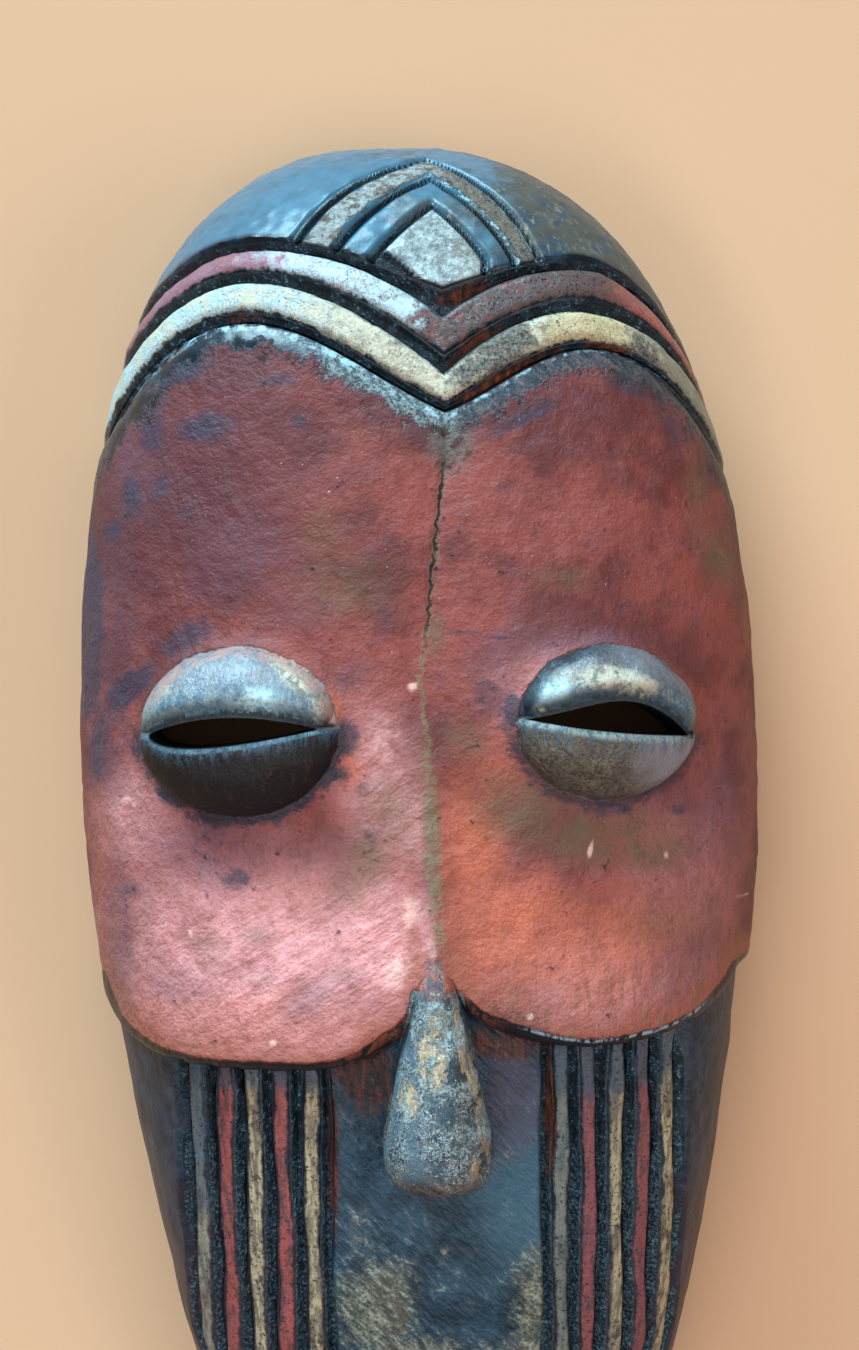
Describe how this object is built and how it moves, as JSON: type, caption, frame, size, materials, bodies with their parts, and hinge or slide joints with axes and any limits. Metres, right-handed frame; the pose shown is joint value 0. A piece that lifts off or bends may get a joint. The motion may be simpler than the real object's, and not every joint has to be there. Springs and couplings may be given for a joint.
{
  "type": "african face mask",
  "caption": "Long oval face mask carved hollow from wood, with slit eyes, a ribbed lower face and painted brow bands; lies face up on its rim.",
  "frame": {"origin": "middle of the mask's outline, on the plane of its rim", "axes": "+Z out of the face, +Y from chin to crown, +X to the right as the face is looked at"},
  "size_m": [0.1645, 0.36, 0.087],
  "materials": {
    "painted_wood": "worn red ochre, cream and blue-black paint with a soft waxed gloss, bare brown wood in the grooves and the hollow back"
  },
  "bodies": {
    "root": {"mask": "painted_wood"}
  },
  "joints": []
}
